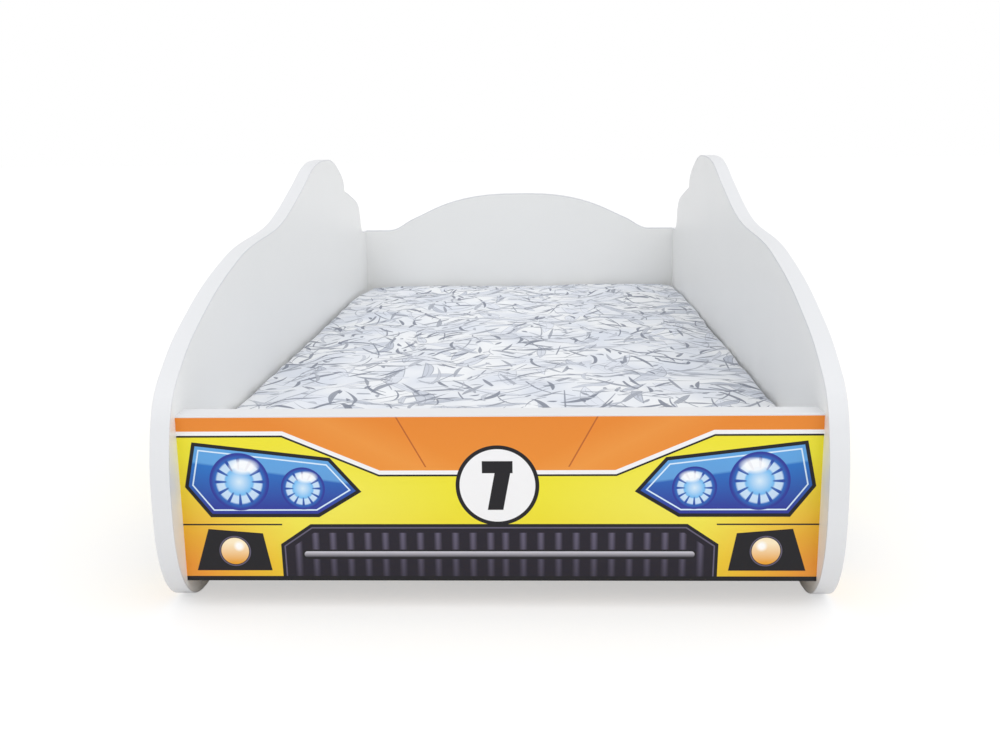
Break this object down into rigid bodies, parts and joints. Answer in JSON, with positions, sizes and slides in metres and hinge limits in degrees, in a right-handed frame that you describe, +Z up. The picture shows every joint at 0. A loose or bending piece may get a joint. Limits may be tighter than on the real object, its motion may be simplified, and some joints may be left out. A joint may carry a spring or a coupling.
{
  "type": "car bed",
  "caption": "Low children's bed shaped like a car, with side boards cut to a car's outline, a printed front panel, an arched headboard and a loose mattress.",
  "frame": {"origin": "on the floor, at the middle of the bed's length and width", "axes": "+Z up, -Y towards the front of the car (the foot end), +X to the right seen from the front"},
  "size_m": [0.764, 1.51, 0.482],
  "materials": {
    "printed_side_board": "laminated board, white satin inside, printed car side outside",
    "printed_front_board": "laminated board with a printed satin car front",
    "white_laminate": "white laminated board, satin",
    "white_edge_band": "white plastic edge band, satin",
    "pine": "planed pine, raw",
    "beech": "fluted beech, raw",
    "webbing": "woven polyester tape",
    "zinc_steel": "zinc plated steel",
    "die_cast_zinc": "die cast zinc",
    "printed_cover_cloth": "printed microfibre cloth, matt",
    "plain_cover_cloth": "plain white cloth, matt",
    "foam": "open cell foam"
  },
  "bodies": {
    "bed_frame": {"left_side_panel": "printed_side_board", "right_side_panel": "printed_side_board", "left_edge_band": "white_edge_band", "right_edge_band": "white_edge_band", "front_panel": "printed_front_board", "foot_end_board": "white_laminate", "front_top_band": "white_edge_band", "headboard": "white_laminate", "headboard_edge_band": "white_edge_band", "left_slat_rail": "pine", "right_slat_rail": "pine", "slat_01": "pine", "slat_02": "pine", "slat_03": "pine", "slat_04": "pine", "slat_05": "pine", "slat_06": "pine", "slat_07": "pine", "slat_08": "pine", "slat_09": "pine", "slat_10": "pine", "slat_11": "pine", "slat_12": "pine", "slat_13": "pine", "left_slat_tape": "webbing", "right_slat_tape": "webbing", "dowels": "beech", "cam_bolts": "zinc_steel", "cam_locks": "die_cast_zinc", "rail_screws": "zinc_steel", "panel_screws": "zinc_steel", "slat_screws": "zinc_steel"},
    "mattress": {"mattress_core": "foam", "mattress_cover": "printed_cover_cloth", "mattress_base_cloth": "plain_cover_cloth"}
  },
  "joints": [
    {"name": "mattress_lift", "type": "slide", "parent": "bed_frame", "child": "mattress", "axis": [0, 0, 1], "range_m": [0, 0.42]}
  ]
}
